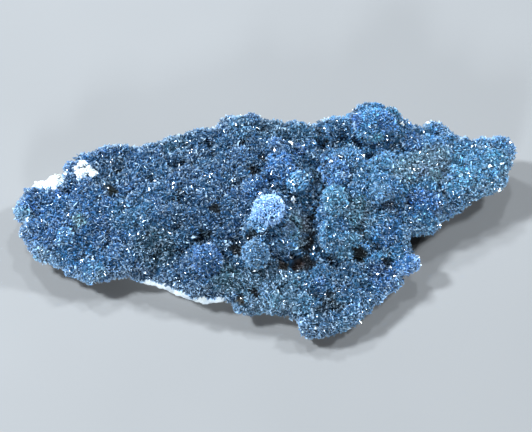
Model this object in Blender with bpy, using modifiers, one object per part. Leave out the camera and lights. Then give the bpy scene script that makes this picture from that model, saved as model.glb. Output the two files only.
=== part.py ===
"""Vauxite specimen: a crust of small blue crystals grown over a thin plate of white rock.

Two pieces, in metres, +Z up, lying on the rock's flat underside at Z = 0, centred in X and Y.
white_matrix   the broken plate of white rock, bare where the crust has chipped off
vauxite_crust  rounded clusters of crystals, grown into each other as one crust
"""

import math

import bmesh
import bpy
import numpy as np
from mathutils import Matrix, Vector, geometry
from mathutils.bvhtree import BVHTree

MM = 0.001

# Driving dimensions, in millimetres
LENGTH = 72.0
ROCK_THICKNESS = 2.7
RIM_RADIUS = 1.5
RIM_RADIUS_SPREAD = (0.82, 1.05)
RIM_SPACING = 1.3
RIM_INSET = 0.1
CRUST_BASE = 1.0
CLUSTER_SPACING = 2.2
CLUSTER_RADIUS = (1.25, 1.9)
CLUSTER_FOOT = 1.75
CLUSTER_MARGIN = 1.3
JITTER = 0.4
CLUSTER_LEAST_HALF = 0.8
END_LIFT = 2.2

# Height of the rounded rim's middle: where Y is 0, its rise towards the back, and its least
RIM_HEIGHT = 4.1
RIM_SLOPE = 0.13
RIM_LOWEST = 2.5
RIM_END_LIFT = 0.35

# Room left round the rock before the crust is faceted, which leaves 0.3 mm or more
ROCK_CLEARANCE = 0.85

# The crust's edge seen from above, clockwise from the left tip, in millimetres
RIM = [
    (-36.4, -2.3), (-36.3, -0.9), (-35.2, 0.3), (-34.3, 1.3), (-33.6, 1.9), (-32.0, 1.8), (-30.8, 1.5),
    (-29.7, 2.3), (-29.3, 4.5), (-28.3, 5.9), (-27.0, 6.8), (-25.2, 7.3), (-23.0, 8.3), (-20.8, 8.8),
    (-18.4, 8.2), (-16.6, 8.9), (-14.0, 10.0), (-10.0, 10.8), (-8.0, 11.4), (-6.0, 12.4), (-4.6, 12.9),
    (-2.3, 13.0), (-1.0, 12.5), (0.6, 12.8), (3.5, 12.5), (6.0, 12.4), (8.2, 12.5), (9.4, 12.8),
    (11.6, 12.8), (13.0, 12.6), (18.2, 12.6), (20.0, 11.9), (21.2, 11.0), (22.8, 11.6), (24.8, 11.8),
    (25.5, 10.3), (28.0, 9.8), (31.6, 9.5), (33.6, 9.8), (35.0, 9.7), (35.9, 8.6), (36.0, 6.8), (34.9, 4.6),
    (34.2, 2.0), (32.8, 0.9), (30.4, 0.2), (29.0, -0.8), (27.2, -1.7), (26.2, -2.8), (24.8, -3.2),
    (23.8, -5.0), (21.6, -5.0), (20.2, -6.6), (20.6, -8.4), (21.7, -9.3), (21.2, -10.6), (19.2, -11.0),
    (19.0, -12.7), (18.1, -14.1), (16.2, -15.7), (14.6, -17.6), (12.8, -18.6), (11.3, -20.2), (8.6, -21.2),
    (5.3, -20.8), (5.3, -18.4), (3.2, -17.7), (1.6, -17.3), (-0.6, -17.5), (-3.2, -17.4), (-4.4, -16.4),
    (-4.8, -15.2), (-7.6, -15.4), (-10.0, -15.1), (-12.0, -14.3), (-14.6, -13.0), (-16.8, -12.0),
    (-19.0, -11.9), (-20.9, -11.5), (-22.6, -12.2), (-24.6, -13.0), (-27.1, -12.1), (-29.7, -10.7),
    (-32.5, -9.3), (-34.1, -7.3), (-35.1, -5.4), (-35.4, -3.4),
]

# Height of the crust's upper face at places that set its swells and terraces: x, y, height
TOP_HEIGHTS = {
    "left tip": (-34.0, -2.0, 5.6),
    "left lobe": (-28.0, -4.0, 7.2),
    "left lobe back": (-29.5, 1.0, 5.7),
    "left lobe front": (-26.0, -10.0, 4.6),
    "chipped shoulder": (-24.5, 5.0, 6.4),
    "left saddle": (-19.0, 4.0, 7.0),
    "body crest": (-13.0, -2.0, 9.2),
    "body back": (-10.0, 8.0, 7.4),
    "body front": (-12.0, -11.0, 5.2),
    "middle": (-3.0, 0.0, 9.4),
    "middle back": (2.0, 9.0, 8.0),
    "middle front": (0.0, -9.0, 7.0),
    "ledge by the crevice": (4.5, -3.0, 7.4),
    "wall top": (10.0, 1.0, 10.2),
    "right back": (14.0, 8.0, 8.2),
    "right plateau": (20.0, 3.0, 9.4),
    "right wing": (28.0, 5.0, 7.4),
    "wing tip": (34.5, 6.5, 5.8),
    "right front": (20.0, -5.0, 6.4),
    "nub": (20.5, -9.5, 4.8),
    "terrace back": (8.0, -11.5, 6.2),
    "terrace left": (-1.0, -15.0, 4.6),
    "terrace front": (9.0, -18.5, 4.4),
    "terrace right": (15.0, -13.5, 5.4),
}

BLEND_REACH = 2.0

# Clusters that stand out of the crust: x, y, centre height, radius
LARGE_CLUSTERS = {
    "knob": (14.8, 9.9, 9.4, 2.6),
    "knob right": (16.8, 10.0, 9.5, 2.4),
    "knob left": (13.5, 10.2, 8.9, 1.7),
    "knob shoulder": (19.0, 9.4, 7.4, 1.9),
    "small knob": (10.2, 10.2, 7.4, 1.8),
    "bright rosette": (0.6, -4.3, 9.1, 2.6),
    "bright rosette foot": (-1.5, -6.3, 8.2, 1.5),
    "round cluster": (2.3, 3.6, 7.8, 2.3),
    "pale rosette": (4.5, 0.8, 8.8, 1.7),
    "indigo cluster": (-1.5, 0.7, 8.2, 1.6),
    "front cluster": (-1.5, -9.8, 7.0, 2.1),
    "body front cluster": (-8.5, -10.2, 6.2, 2.2),
    "left lobe cluster": (-28.5, -6.6, 5.8, 1.9),
    "back cluster": (1.5, 7.4, 7.8, 1.2),
    "wall cluster 1": (9.6, 2.4, 8.8, 1.7),
    "wall cluster 2": (9.9, -1.8, 8.6, 2.0),
    "wall cluster 3": (9.2, -5.2, 7.8, 1.7),
    "wall cluster 4": (9.8, -7.6, 6.4, 1.9),
    "wall cluster 5": (12.2, 5.2, 8.2, 1.6),
    "plateau cluster": (16.6, -0.4, 8.4, 2.0),
    "wing cluster": (24.6, 6.2, 6.8, 2.1),
    "wing bump": (24.0, 10.3, 6.7, 1.3),
    "nub": (20.4, -9.8, 3.4, 1.5),
    "terrace nub": (-3.8, -16.4, 2.7, 1.0),
    "wing front cluster": (22.6, -2.2, 5.4, 2.0),
    "hollow floor": (6.3, -9.4, 3.1, 1.5),
}

# The small balls that ring each of those clusters: reach and size as shares of its radius, tilt in radians
RING_COUNT = 8
RING_REACH = 0.72
RING_SIZE = (0.34, 0.44)
RING_TILT = (0.1, 1.0)

# The crevice and its branches, as valleys between the clusters: x, y of each turn
CREVICE = [(8.3, 9.6), (8.0, 6.6), (7.6, 2.4), (6.9, -1.4), (6.4, -4.4), (6.1, -9.2)]
VALLEYS = {
    "crevice": CREVICE,
    "terrace step": [(2.2, -11.0), (6.0, -9.4), (9.6, -10.2), (13.4, -9.8), (17.0, -10.0)],
    "knob valley": [(11.6, 7.8), (13.2, 6.6), (15.4, 5.8)],
    "terrace valley": [(8.6, -15.4), (8.0, -17.4)],
}
VALLEY_DEPTH = 3.1
VALLEY_WIDTH = 1.5
CREVICE_STEP = 1.0
CREVICE_FLOOR = (4.4, 6.0)
CREVICE_DEPTH = 4.4
CREVICE_HALF_WIDTH = (0.4, 1.0)
CREVICE_HALF_RUN = 0.9

# Pits that reach under the clusters: x, y, height, then half-sizes along x, y and z
PITS = {
    "crevice hollow": (5.4, -9.6, 5.9, 2.2, 1.2, 1.5),
    "left tail": (2.8, -10.8, 5.8, 1.6, 0.7, 1.3),
    "right groove": (9.8, -10.2, 5.6, 2.2, 0.5, 1.4),
    "step hollow": (13.4, -10.2, 5.6, 1.0, 1.0, 1.7),
    "body pit": (-9.0, -7.4, 7.8, 1.1, 1.1, 1.6),
    "rosette pit": (-3.3, -7.8, 7.2, 0.6, 0.5, 1.2),
    "left pit": (-22.0, 1.2, 6.8, 1.2, 0.9, 1.3),
    "terrace cavity": (-1.8, -14.5, 4.6, 0.9, 0.7, 0.7),
}

# The hole through the crust: x, y and half-sizes, the height where it is centred, and its slant
THROUGH_HOLE = (17.4, -10.4, 0.75, 0.5)
HOLE_HEIGHT = 4.0
HOLE_DEPTH = 16.0
HOLE_SLANT = 0.3

# The rock plate's edge seen from above, in millimetres
ROCK_EDGE = [
    (-32.0, -0.6), (-31.6, 1.4), (-28.4, 3.2), (-24.4, 4.4), (-20.0, 4.6), (-16.0, 5.2), (-9.6, 7.6),
    (-2.0, 9.4), (6.0, 9.0), (14.0, 8.8), (20.0, 7.6), (26.4, 7.0), (28.4, 4.6), (24.6, 0.6),
    (19.4, -3.6), (16.0, -7.0), (14.8, -10.4), (13.8, -14.0), (9.8, -17.0), (4.8, -16.6), (0.0, -14.8),
    (-4.2, -14.0), (-6.4, -14.4), (-8.6, -14.5), (-10.8, -14.1), (-12.2, -13.5), (-13.8, -12.6),
    (-15.6, -11.6), (-17.6, -10.5), (-20.8, -8.8), (-26.0, -8.2), (-30.4, -5.2),
]

# Rock that stands up through the crust where it is chipped: x, y, centre height, radius
ROCK_BOSSES = {
    "large bare patch": (-26.8, 4.3, 4.8, 1.3),
    "large bare patch right": (-25.6, 4.9, 4.8, 1.0),
    "edge patch": (-29.8, 2.8, 3.9, 1.5),
    "edge crest": (-32.2, 1.8, 4.2, 0.9),
}
BARE_MARGIN = 0.6

# Thickness of rock that is modelled below the flat cut and then cut away
ROCK_SPARE = 0.6

# Surface grain of each piece: its size and its depth in millimetres
ROCK_GRAIN = (1.6, 0.5)
CRUST_GRAIN = (1.5, 0.7)
GRAIN_OUTWARD = 0.3

# Resolution: voxel sizes in millimetres and triangle counts
ROCK_VOXEL = 0.55
ROCK_FACES = 900
CRUST_VOXEL = 0.36
CRUST_FACES = 5000
PIT_VOXEL = 0.35
PIT_FACES = 800

# The larger crystals, in millimetres
CRYSTAL_COUNT = 560
CRYSTAL_LENGTH = (0.35, 0.85)
CRYSTAL_LEAN = 0.35
CRYSTAL_SLANT = 0.7
CRYSTAL_TAPER = 0.72
CRYSTAL_LOWEST = 2.2
CRYSTAL_HIGHEST = 11.2
CRYSTAL_MARGIN = 1.5
CRYSTAL_UPRIGHT = 0.25
CRYSTAL_SKY = 2.5
CRYSTAL_CLEARANCE = 1.7
SKIN_OFFSET = 0.05
SEED = 11

# Linear RGB colours
ROCK_COLOUR = (0.80, 0.82, 0.80)
ROCK_ROUGHNESS = 0.75
CRUST_COLOUR = (0.10, 0.24, 0.48)
CRUST_ROUGHNESS = 0.22


def clear_scene():
    """Empties the scene that Blender starts with."""
    for thing in list(bpy.data.objects):
        bpy.data.objects.remove(thing)


def new_collection(name):
    """A collection under the scene's own."""
    made = bpy.data.collections.new(name)
    bpy.context.scene.collection.children.link(made)
    return made


def plain_material(name, colour, roughness):
    """A Principled material of one colour, which is linear RGB."""
    made = bpy.data.materials.new(name)
    made.use_nodes = True
    shader = made.node_tree.nodes["Principled BSDF"]
    shader.inputs["Base Color"].default_value = (*colour, 1.0)
    shader.inputs["Roughness"].default_value = roughness
    shader.inputs["Metallic"].default_value = 0.0
    return made


def add_object(name, mesh, collection):
    """A new object that shows the working mesh, which is freed."""
    data = bpy.data.meshes.new(name)
    mesh.to_mesh(data)
    mesh.free()
    made = bpy.data.objects.new(name, data)
    collection.objects.link(made)
    return made


def make_helper(thing):
    """Marks an object as a tool that is no piece of the specimen."""
    thing.hide_render = True
    thing.display_type = "WIRE"
    return thing


def add_modifier(thing, name, kind, **settings):
    """A modifier with these settings."""
    made = thing.modifiers.new(name, kind)
    for key, value in settings.items():
        setattr(made, key, value)
    return made


def evaluated_mesh(thing):
    """A new mesh of the object as its modifiers leave it."""
    graph = bpy.context.evaluated_depsgraph_get()
    return bpy.data.meshes.new_from_object(thing.evaluated_get(graph))


def apply_modifiers(thing):
    """Makes the modifiers' result the object's own mesh."""
    result = evaluated_mesh(thing)
    thing.modifiers.clear()
    thing.data = result


def end_lift(x):
    """How far the crust curls up at this x: nothing in the middle, END_LIFT at the tips."""
    return END_LIFT * (2 * abs(x) / LENGTH) ** 3


def inside(x, y, outline):
    """True where the point lies within the closed outline."""
    found = False
    for (x0, y0), (x1, y1) in zip(outline, outline[1:] + outline[:1]):
        if (y0 > y) != (y1 > y) and x < (x1 - x0) * (y - y0) / (y1 - y0) + x0:
            found = not found
    return found


def within_rim(x, y, margin):
    """True where the point lies within the rim by at least about the margin."""
    around = np.linspace(0, 2 * math.pi, 8, endpoint=False)
    return all(inside(x + margin * math.cos(turn), y + margin * math.sin(turn), RIM) for turn in around)


def on_bare_rock(x, y):
    """True where the crust has chipped off the rock."""
    reaches = [(math.hypot(x - px, y - py), radius) for px, py, z, radius in ROCK_BOSSES.values()]
    return any(away < radius + BARE_MARGIN for away, radius in reaches)


def distance_to(x, y, route):
    """Distance in plan from the point to the nearest run of the route."""
    point = Vector((x, y))
    nearest = math.inf
    for start, end in zip(route, route[1:]):
        start, end = Vector(start), Vector(end)
        along = geometry.intersect_point_line(point, start, end)[1]
        foot = start.lerp(end, min(1, max(0, along)))
        nearest = min(nearest, (foot - point).length)
    return nearest


def top_height(x, y):
    """Height of the crust: a blend of TOP_HEIGHTS by distance, lowered along the valleys."""
    squares = [((x - px) ** 2 + (y - py) ** 2, z) for px, py, z in TOP_HEIGHTS.values()]
    weighted = [(1 / (square + BLEND_REACH ** 2) ** 1.5, z) for square, z in squares]
    height = sum(weight * z for weight, z in weighted) / sum(weight for weight, z in weighted)
    nearest = min(distance_to(x, y, route) for route in VALLEYS.values())
    return height - VALLEY_DEPTH * math.exp(-((nearest / VALLEY_WIDTH) ** 2))


def bottom_height(x):
    """Height of the crust's underside, part way up the rock plate's side."""
    return CRUST_BASE + end_lift(x)


def rim_height(x, y):
    """Height of the middle of the rounded rim: low in front, higher at the back and at the tips."""
    return max(RIM_LOWEST, RIM_HEIGHT + RIM_SLOPE * y) + RIM_END_LIFT * end_lift(x)


def append(mesh, addition):
    """Adds one working mesh to another, which is quicker than growing a large one piece by piece."""
    carrier = bpy.data.meshes.new("addition")
    addition.to_mesh(carrier)
    addition.free()
    mesh.from_mesh(carrier)
    bpy.data.meshes.remove(carrier)


def add_ball(mesh, x, y, z, half_sizes, subdivisions=2):
    """Adds an ellipsoid to the mesh, with its place and half-sizes in millimetres."""
    place = Matrix.Translation(Vector((x, y, z)) * MM)
    shape = Matrix.Diagonal((*(Vector(half_sizes) * MM), 1.0))
    ball = bmesh.new()
    bmesh.ops.create_icosphere(ball, subdivisions=subdivisions, radius=1.0, matrix=place @ shape)
    append(mesh, ball)


def keep_largest_skin(thing):
    """Deletes all but the largest connected skin: what goes is sealed hollows and loose crumbs."""
    mesh = bmesh.new()
    mesh.from_mesh(thing.data)
    unseen = set(mesh.verts)
    skins = []
    while unseen:
        front = [unseen.pop()]
        skin = []
        while front:
            vertex = front.pop()
            skin.append(vertex)
            near = {edge.other_vert(vertex) for edge in vertex.link_edges} & unseen
            unseen -= near
            front += near
        skins.append(skin)
    skins.sort(key=len)
    for skin in skins[:-1]:
        bmesh.ops.delete(mesh, geom=skin, context="VERTS")
    mesh.to_mesh(thing.data)
    mesh.free()


def fuse(thing, voxel, texture=None, depth=0.0, cutters=()):
    """Fuses the object's overlapping shapes into one skin, roughens it by the texture and cuts it."""
    size = voxel * MM
    add_modifier(thing, "fuse", "REMESH", mode="VOXEL", voxel_size=size)
    if texture:
        add_modifier(
            thing, "grain", "DISPLACE", texture=texture, texture_coords="LOCAL",
            strength=depth * MM, mid_level=GRAIN_OUTWARD,
        )
        add_modifier(thing, "fuse folds", "REMESH", mode="VOXEL", voxel_size=size)
    for cutter in cutters:
        add_modifier(thing, cutter.name, "BOOLEAN", operation="DIFFERENCE", object=cutter)
    if cutters:
        add_modifier(thing, "even out cuts", "REMESH", mode="VOXEL", voxel_size=size)
    apply_modifiers(thing)


def facet(thing, faces):
    """Thins the skin out to about this many flat triangles."""
    add_modifier(thing, "facets", "DECIMATE", ratio=faces / (2 * len(thing.data.polygons)))
    apply_modifiers(thing)


def grain_texture(name, kind, size):
    """A procedural texture for Displace, with its grain size in millimetres."""
    made = bpy.data.textures.new(name, kind)
    made.noise_scale = size * MM
    return made


def rock_outline(collection):
    """The plate as a filled flat outline with thickness, its top at ROCK_THICKNESS."""
    curve = bpy.data.curves.new("rock_outline", "CURVE")
    curve.dimensions = "2D"
    curve.fill_mode = "BOTH"
    curve.extrude = (ROCK_THICKNESS + ROCK_SPARE) / 2 * MM
    spline = curve.splines.new("POLY")
    spline.points.add(len(ROCK_EDGE) - 1)
    for point, (x, y) in zip(spline.points, ROCK_EDGE):
        point.co = (x * MM, y * MM, 0.0, 1.0)
    spline.use_cyclic_u = True
    made = bpy.data.objects.new("rock_outline", curve)
    made.location.z = (ROCK_THICKNESS - ROCK_SPARE) / 2 * MM
    collection.objects.link(made)
    return made


def cut_flat(mesh, height):
    """Cuts the mesh off below this height and closes the cut with one flat face."""
    cut = bmesh.ops.bisect_plane(
        mesh, geom=mesh.verts[:] + mesh.edges[:] + mesh.faces[:], dist=0.001 * MM,
        plane_co=(0, 0, height), plane_no=(0, 0, 1), clear_inner=True,
    )
    rim = [part for part in cut["geom_cut"] if isinstance(part, bmesh.types.BMEdge)]
    bmesh.ops.holes_fill(mesh, edges=rim)
    bmesh.ops.recalc_face_normals(mesh, faces=mesh.faces)


def make_rock(pieces, helpers):
    """The rock plate: a filled outline with bosses on it, roughened, and cut flat below."""
    outline = rock_outline(helpers)
    bpy.context.view_layer.update()
    mesh = bmesh.new()
    mesh.from_mesh(evaluated_mesh(outline))
    mesh.transform(outline.matrix_world)
    bmesh.ops.remove_doubles(mesh, verts=mesh.verts, dist=0.01 * MM)
    bpy.data.objects.remove(outline)
    for x, y, z, radius in ROCK_BOSSES.values():
        add_ball(mesh, x, y, z, (radius, radius, radius), subdivisions=3)
        add_ball(mesh, x, y, z / 2, (radius, radius, z / 2), subdivisions=3)
    rock = add_object("white_matrix", mesh, pieces)
    size, depth = ROCK_GRAIN
    fuse(rock, ROCK_VOXEL, grain_texture("rock_grain", "STUCCI", size), depth)
    keep_largest_skin(rock)
    facet(rock, ROCK_FACES)
    mesh = bmesh.new()
    mesh.from_mesh(rock.data)
    cut_flat(mesh, 0.0)
    mesh.to_mesh(rock.data)
    mesh.free()
    rock.data.materials.append(plain_material("white_rock", ROCK_COLOUR, ROCK_ROUGHNESS))
    return rock


def clearance(rock, helpers):
    """A copy of the rock, larger all round."""
    mesh = bmesh.new()
    mesh.from_mesh(rock.data)
    moves = [(vertex, vertex.normal * ROCK_CLEARANCE * MM) for vertex in mesh.verts]
    for vertex, move in moves:
        vertex.co += move
    larger = make_helper(add_object("rock_clearance", mesh, helpers))
    fuse(larger, ROCK_VOXEL)
    facet(larger, ROCK_FACES)
    return larger


def make_pits(helpers, rng):
    """The cutter for the pits, with ragged walls: a ball each, and a row of them down the crevice."""
    mesh = bmesh.new()
    for x, y, z, *half_sizes in PITS.values():
        add_ball(mesh, x, y, z, half_sizes)
    for start, end in zip(CREVICE, CREVICE[1:]):
        start, end = Vector(start), Vector(end)
        for along in np.arange(0, 1, CREVICE_STEP / (end - start).length):
            x, y = start.lerp(end, along)
            wide = rng.uniform(*CREVICE_HALF_WIDTH)
            deep = CREVICE_DEPTH / 2
            height = rng.uniform(*CREVICE_FLOOR) + deep
            x += rng.uniform(-JITTER, JITTER)
            add_ball(mesh, x, y, height, (wide, CREVICE_HALF_RUN, deep))
    pits = make_helper(add_object("pits", mesh, helpers))
    fuse(pits, PIT_VOXEL)
    facet(pits, PIT_FACES)
    return pits


def make_hole(helpers):
    """A slanted six-sided prism that cuts the hole through the crust."""
    x, y, half_long, half_short = THROUGH_HOLE
    mesh = bmesh.new()
    place = Matrix.Translation(Vector((x, y, HOLE_HEIGHT)) * MM) @ Matrix.Rotation(HOLE_SLANT, 4, "X")
    shape = Matrix.Diagonal((half_long * MM, half_short * MM, HOLE_DEPTH * MM, 1.0))
    bmesh.ops.create_cone(
        mesh, cap_ends=True, segments=6, radius1=1.0, radius2=1.0, depth=1.0, matrix=place @ shape,
    )
    return make_helper(add_object("through_hole", mesh, helpers))


def rim_clusters(mesh, rng):
    """A row of rounded clusters along the edge, each just inside it."""
    for start, end in zip(RIM, RIM[1:] + RIM[:1]):
        start, end = Vector(start), Vector(end)
        run = end - start
        inward = Vector((run.y, -run.x)).normalized()
        steps = max(1, round(run.length / RIM_SPACING))
        for step in range(steps):
            radius = RIM_RADIUS * rng.uniform(*RIM_RADIUS_SPREAD)
            centre = start + run * (step + 0.5) / steps + inward * (radius + RIM_INSET)
            add_ball(mesh, *centre, rim_height(*centre), (radius, radius, radius))


def bed_clusters(mesh, rng):
    """Clusters on a jittered hexagonal grid, each a ball at the crust's height on a foot below it."""
    row_step = CLUSTER_SPACING * math.sqrt(3) / 2
    x_low, x_high = min(x for x, y in RIM), max(x for x, y in RIM)
    y_low, y_high = min(y for x, y in RIM), max(y for x, y in RIM)
    for row in range(math.ceil((y_high - y_low) / row_step)):
        for column in range(math.ceil((x_high - x_low) / CLUSTER_SPACING)):
            x = x_low + (column + 0.5 * (row % 2)) * CLUSTER_SPACING + rng.uniform(-JITTER, JITTER)
            y = y_low + row * row_step + rng.uniform(-JITTER, JITTER)
            radius = rng.uniform(*CLUSTER_RADIUS)
            top = top_height(x, y) + rng.uniform(-JITTER, JITTER)
            if within_rim(x, y, CLUSTER_MARGIN) and not on_bare_rock(x, y):
                low = bottom_height(x)
                half = max(CLUSTER_LEAST_HALF, (top - low) / 2)
                add_ball(mesh, x, y, low + half, (CLUSTER_FOOT, CLUSTER_FOOT, half))
                add_ball(mesh, x, y, max(low + radius, top - radius), (radius, radius, radius))


def large_clusters(mesh, rng):
    """The clusters that stand out: a ball each, ringed by smaller ones that make it bumpy."""
    for x, y, z, radius in LARGE_CLUSTERS.values():
        add_ball(mesh, x, y, z, (radius, radius, radius), subdivisions=3)
        for turn in np.linspace(0, 2 * math.pi, RING_COUNT, endpoint=False):
            tilt = rng.uniform(*RING_TILT)
            reach = radius * RING_REACH
            dx = reach * math.cos(turn) * math.cos(tilt)
            dy = reach * math.sin(turn) * math.cos(tilt)
            size = radius * rng.uniform(*RING_SIZE)
            add_ball(mesh, x + dx, y + dy, z + reach * math.sin(tilt), (size, size, size))


def crossing_faces(mesh):
    """Faces of the skin that pass through another face which they share no corner with."""
    mesh.faces.ensure_lookup_table()
    mesh.faces.index_update()
    skin = BVHTree.FromBMesh(mesh)
    pairs = [(mesh.faces[first], mesh.faces[second]) for first, second in skin.overlap(skin)]
    return {first for first, second in pairs if not set(first.verts) & set(second.verts)}


def pick_faces(crust, rock, rng):
    """Picks upper faces with open space above them, away from the edge, the rock and each other."""
    skin = BVHTree.FromObject(crust, bpy.context.evaluated_depsgraph_get())
    stone = BVHTree.FromObject(rock, bpy.context.evaluated_depsgraph_get())
    picked = []
    taken = set()
    for index in rng.permutation(len(crust.data.polygons)):
        face = crust.data.polygons[index]
        x, y, z = face.center / MM
        upper = face.normal.z > CRYSTAL_UPRIGHT and CRYSTAL_LOWEST < z < CRYSTAL_HIGHEST
        open_ground = upper and within_rim(x, y, CRYSTAL_MARGIN)
        near_rock = stone.find_nearest(face.center)[3] < CRYSTAL_CLEARANCE * MM
        above = face.center + face.normal * SKIN_OFFSET * MM
        covered = skin.ray_cast(above, face.normal, CRYSTAL_SKY * MM)[0] is not None
        if open_ground and not near_rock and not covered and not taken & set(face.vertices):
            picked.append(int(index))
            taken |= set(face.vertices)
    return picked[:CRYSTAL_COUNT]


def random_crystal(rng):
    """How far one crystal stands out, which way it leans, and how its tip slants."""
    reach = rng.uniform(*CRYSTAL_LENGTH) * MM
    lean = Vector(rng.uniform(-CRYSTAL_LEAN, CRYSTAL_LEAN, 3))
    slant = Vector(rng.uniform(-CRYSTAL_SLANT, CRYSTAL_SLANT, 3))
    return reach, lean, slant


def draw_out(cap, reach, lean, slant):
    """Moves a crystal's cap outwards, tapers it and slants it."""
    centre = cap.calc_center_median()
    outward = (cap.normal + lean).normalized()
    for vertex in cap.verts:
        offset = (vertex.co - centre) * CRYSTAL_TAPER
        vertex.co = centre + offset + outward * (reach + offset.dot(slant))


def grow_crystals(crust, rock, rng):
    """Draws tapered crystals out of the crust's faces, leaving out each one that would cross another."""
    crystals = {index: random_crystal(rng) for index in pick_faces(crust, rock, rng)}
    while crystals:
        mesh = bmesh.new()
        mesh.from_mesh(crust.data)
        mesh.faces.ensure_lookup_table()
        roots = [mesh.faces[index] for index in crystals]
        caps = bmesh.ops.extrude_discrete_faces(mesh, faces=roots)["faces"]
        for cap, shape in zip(caps, crystals.values()):
            draw_out(cap, *shape)
        owners = {vertex: index for cap, index in zip(caps, crystals) for vertex in cap.verts}
        corners = {vertex for face in crossing_faces(mesh) for vertex in face.verts}
        crossing = {owners[vertex] for vertex in corners & set(owners)}
        if not crossing:
            mesh.to_mesh(crust.data)
        mesh.free()
        if not crossing:
            break
        crystals = {index: shape for index, shape in crystals.items() if index not in crossing}


def make_crust(rock, pieces, helpers):
    """The crust: clusters fused into one skin, pitted, cleared for the rock and set with crystals."""
    rng = np.random.default_rng(SEED)
    mesh = bmesh.new()
    bed_clusters(mesh, rng)
    rim_clusters(mesh, rng)
    large_clusters(mesh, rng)
    crust = add_object("vauxite_crust", mesh, pieces)
    cutters = [make_pits(helpers, rng), make_hole(helpers), clearance(rock, helpers)]
    size, depth = CRUST_GRAIN
    fuse(crust, CRUST_VOXEL, grain_texture("crystal_grain", "VORONOI", size), depth, cutters)
    keep_largest_skin(crust)
    facet(crust, CRUST_FACES)
    grow_crystals(crust, rock, rng)
    crust.data.materials.append(plain_material("vauxite", CRUST_COLOUR, CRUST_ROUGHNESS))
    return crust


def centring_shift(things):
    """How far to move the specimen so that its box is centred in X and Y."""
    corners = np.concatenate([
        np.array([vertex.co for vertex in evaluated_mesh(thing).vertices]) for thing in things
    ])
    middle = (corners.min(axis=0) + corners.max(axis=0)) / 2
    return Vector((-middle[0], -middle[1], 0.0))


def main():
    clear_scene()
    pieces = new_collection("vauxite_specimen")
    helpers = new_collection("cutters")
    rock = make_rock(pieces, helpers)
    crust = make_crust(rock, pieces, helpers)
    shift = centring_shift([rock, crust])
    carrier = bpy.data.objects.new("specimen_origin", None)
    pieces.objects.link(carrier)
    for thing in [rock, crust, *helpers.objects]:
        thing.parent = carrier
    carrier.location = shift
    bpy.context.view_layer.update()


main()
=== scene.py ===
# %% [markdown]
# A vauxite specimen, as a lesson in cells.
#
# The real thing is a thin plate of white rock. A crust of vauxite, a blue phosphate mineral, grew over it.
# Its crystals are hardly ever longer than a millimetre. Thousands of them stand side by side, and where
# many start from one point they fan out into a round cluster, like the florets of a cauliflower.
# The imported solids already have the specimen's form. This script clothes them in the crystals themselves,
# and in rock that looks broken and not modelled.

# %% Frame
import math

import bmesh
import bpy
import numpy as np
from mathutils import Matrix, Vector


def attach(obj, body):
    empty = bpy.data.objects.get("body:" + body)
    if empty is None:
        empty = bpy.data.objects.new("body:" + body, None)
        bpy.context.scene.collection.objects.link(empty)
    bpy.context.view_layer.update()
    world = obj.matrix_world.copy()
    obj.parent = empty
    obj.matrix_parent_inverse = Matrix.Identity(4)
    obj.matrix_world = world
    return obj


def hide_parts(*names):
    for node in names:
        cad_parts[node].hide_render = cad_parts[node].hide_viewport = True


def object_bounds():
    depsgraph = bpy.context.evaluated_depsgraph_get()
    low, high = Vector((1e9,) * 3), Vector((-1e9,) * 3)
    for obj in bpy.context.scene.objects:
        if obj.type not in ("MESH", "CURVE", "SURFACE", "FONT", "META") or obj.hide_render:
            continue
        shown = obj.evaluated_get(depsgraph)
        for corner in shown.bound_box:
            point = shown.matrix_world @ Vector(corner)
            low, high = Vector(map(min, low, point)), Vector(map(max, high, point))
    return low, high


MM = 0.001
SEED = 23

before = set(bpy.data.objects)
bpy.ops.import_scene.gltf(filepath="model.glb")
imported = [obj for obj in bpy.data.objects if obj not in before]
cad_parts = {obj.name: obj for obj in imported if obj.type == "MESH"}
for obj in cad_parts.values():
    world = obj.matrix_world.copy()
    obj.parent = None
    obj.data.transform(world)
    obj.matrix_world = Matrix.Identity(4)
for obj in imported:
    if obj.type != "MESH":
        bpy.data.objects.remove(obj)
cad_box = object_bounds()
rng = np.random.default_rng(SEED)
print("solids' box in mm", [[round(value / MM, 2) for value in corner] for corner in cad_box])

# %% [markdown]
# Arrays in, arrays out.
#
# Every piece is worked out as whole arrays: points in millimetres, and triangles that name three of them.
# What a point gathers from its triangles could be summed in a loop over the points. A weighted count of
# their corners does the same for all points at once, and in a fraction of the time.

# %% Array helpers
SHORTEST = 1e-12
CELLS_ACROSS = 4096


def unit(vectors):
    """Each row divided by its own length."""
    return vectors / np.maximum(np.linalg.norm(vectors, axis=-1, keepdims=True), SHORTEST)


def corner_normals(points, triangles):
    """Normal at each point: the sum of the cross products of its triangles' sides, made 1 long."""
    a, b, c = (points[triangles[:, corner]] for corner in range(3))
    across = np.cross(b - a, c - a)
    total = np.zeros_like(points)
    for corner in range(3):
        for axis in range(3):
            total[:, axis] += np.bincount(triangles[:, corner], across[:, axis], len(points))
    return unit(total)


def neighbour_mean(values, triangles):
    """For each point, the mean of the values at the points that share a triangle with it."""
    total = np.zeros_like(values)
    count = np.zeros(len(values))
    for here, there in ((0, 1), (1, 2), (2, 0), (1, 0), (2, 1), (0, 2)):
        count += np.bincount(triangles[:, here], minlength=len(values))
        for axis in range(values.shape[1]):
            total[:, axis] += np.bincount(triangles[:, here], values[triangles[:, there], axis], len(values))
    return total / np.maximum(count, 1)[:, None]


def cells_of(points, cell):
    """One whole number for each point: (x cell x cells across + y cell) x cells across + z cell."""
    place = np.floor(points / cell).astype(np.int64) + CELLS_ACROSS // 2
    return (place[:, 0] * CELLS_ACROSS + place[:, 1]) * CELLS_ACROSS + place[:, 2]


print("a grid has", CELLS_ACROSS, "cells each way")

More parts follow.
